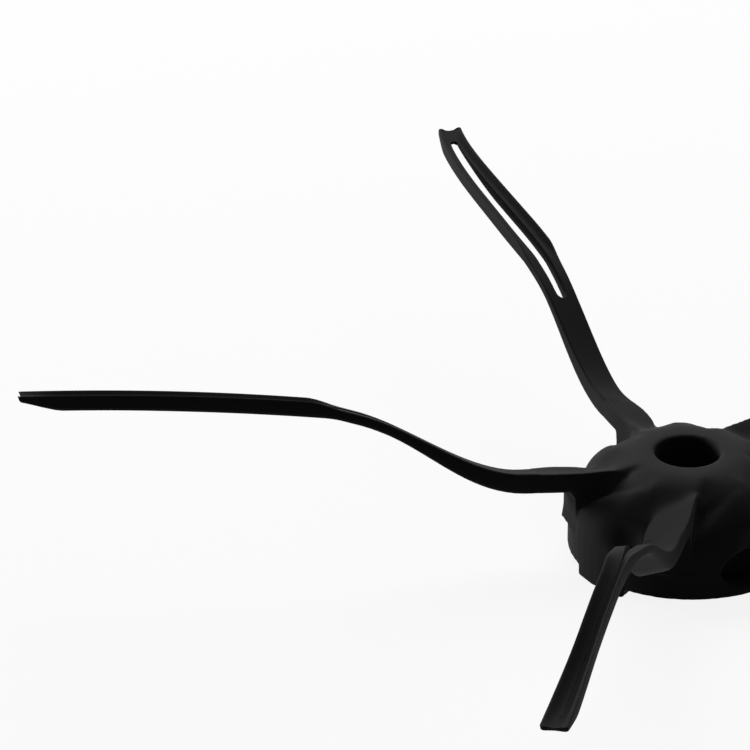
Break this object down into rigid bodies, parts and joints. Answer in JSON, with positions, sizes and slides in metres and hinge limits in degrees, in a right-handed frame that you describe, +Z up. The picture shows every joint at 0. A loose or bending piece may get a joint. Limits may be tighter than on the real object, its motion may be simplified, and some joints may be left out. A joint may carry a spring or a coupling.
{
  "type": "robot vacuum side brush",
  "caption": "Side brush rotor of a robot vacuum: a domed pinwheel hub with a central screw hole and slotted, upswept soft rubber arms that sweep dust inwards.",
  "frame": {"origin": "on the hub's axis, in the plane of the lugs that the hub stands on", "axes": "+Z up along the hub's axis through the screw hole, -Y along the first arm"},
  "size_m": [0.1513, 0.1443, 0.0242],
  "materials": {
    "black_rubber": "matte"
  },
  "bodies": {
    "root": {"side_brush": "black_rubber"}
  },
  "joints": []
}
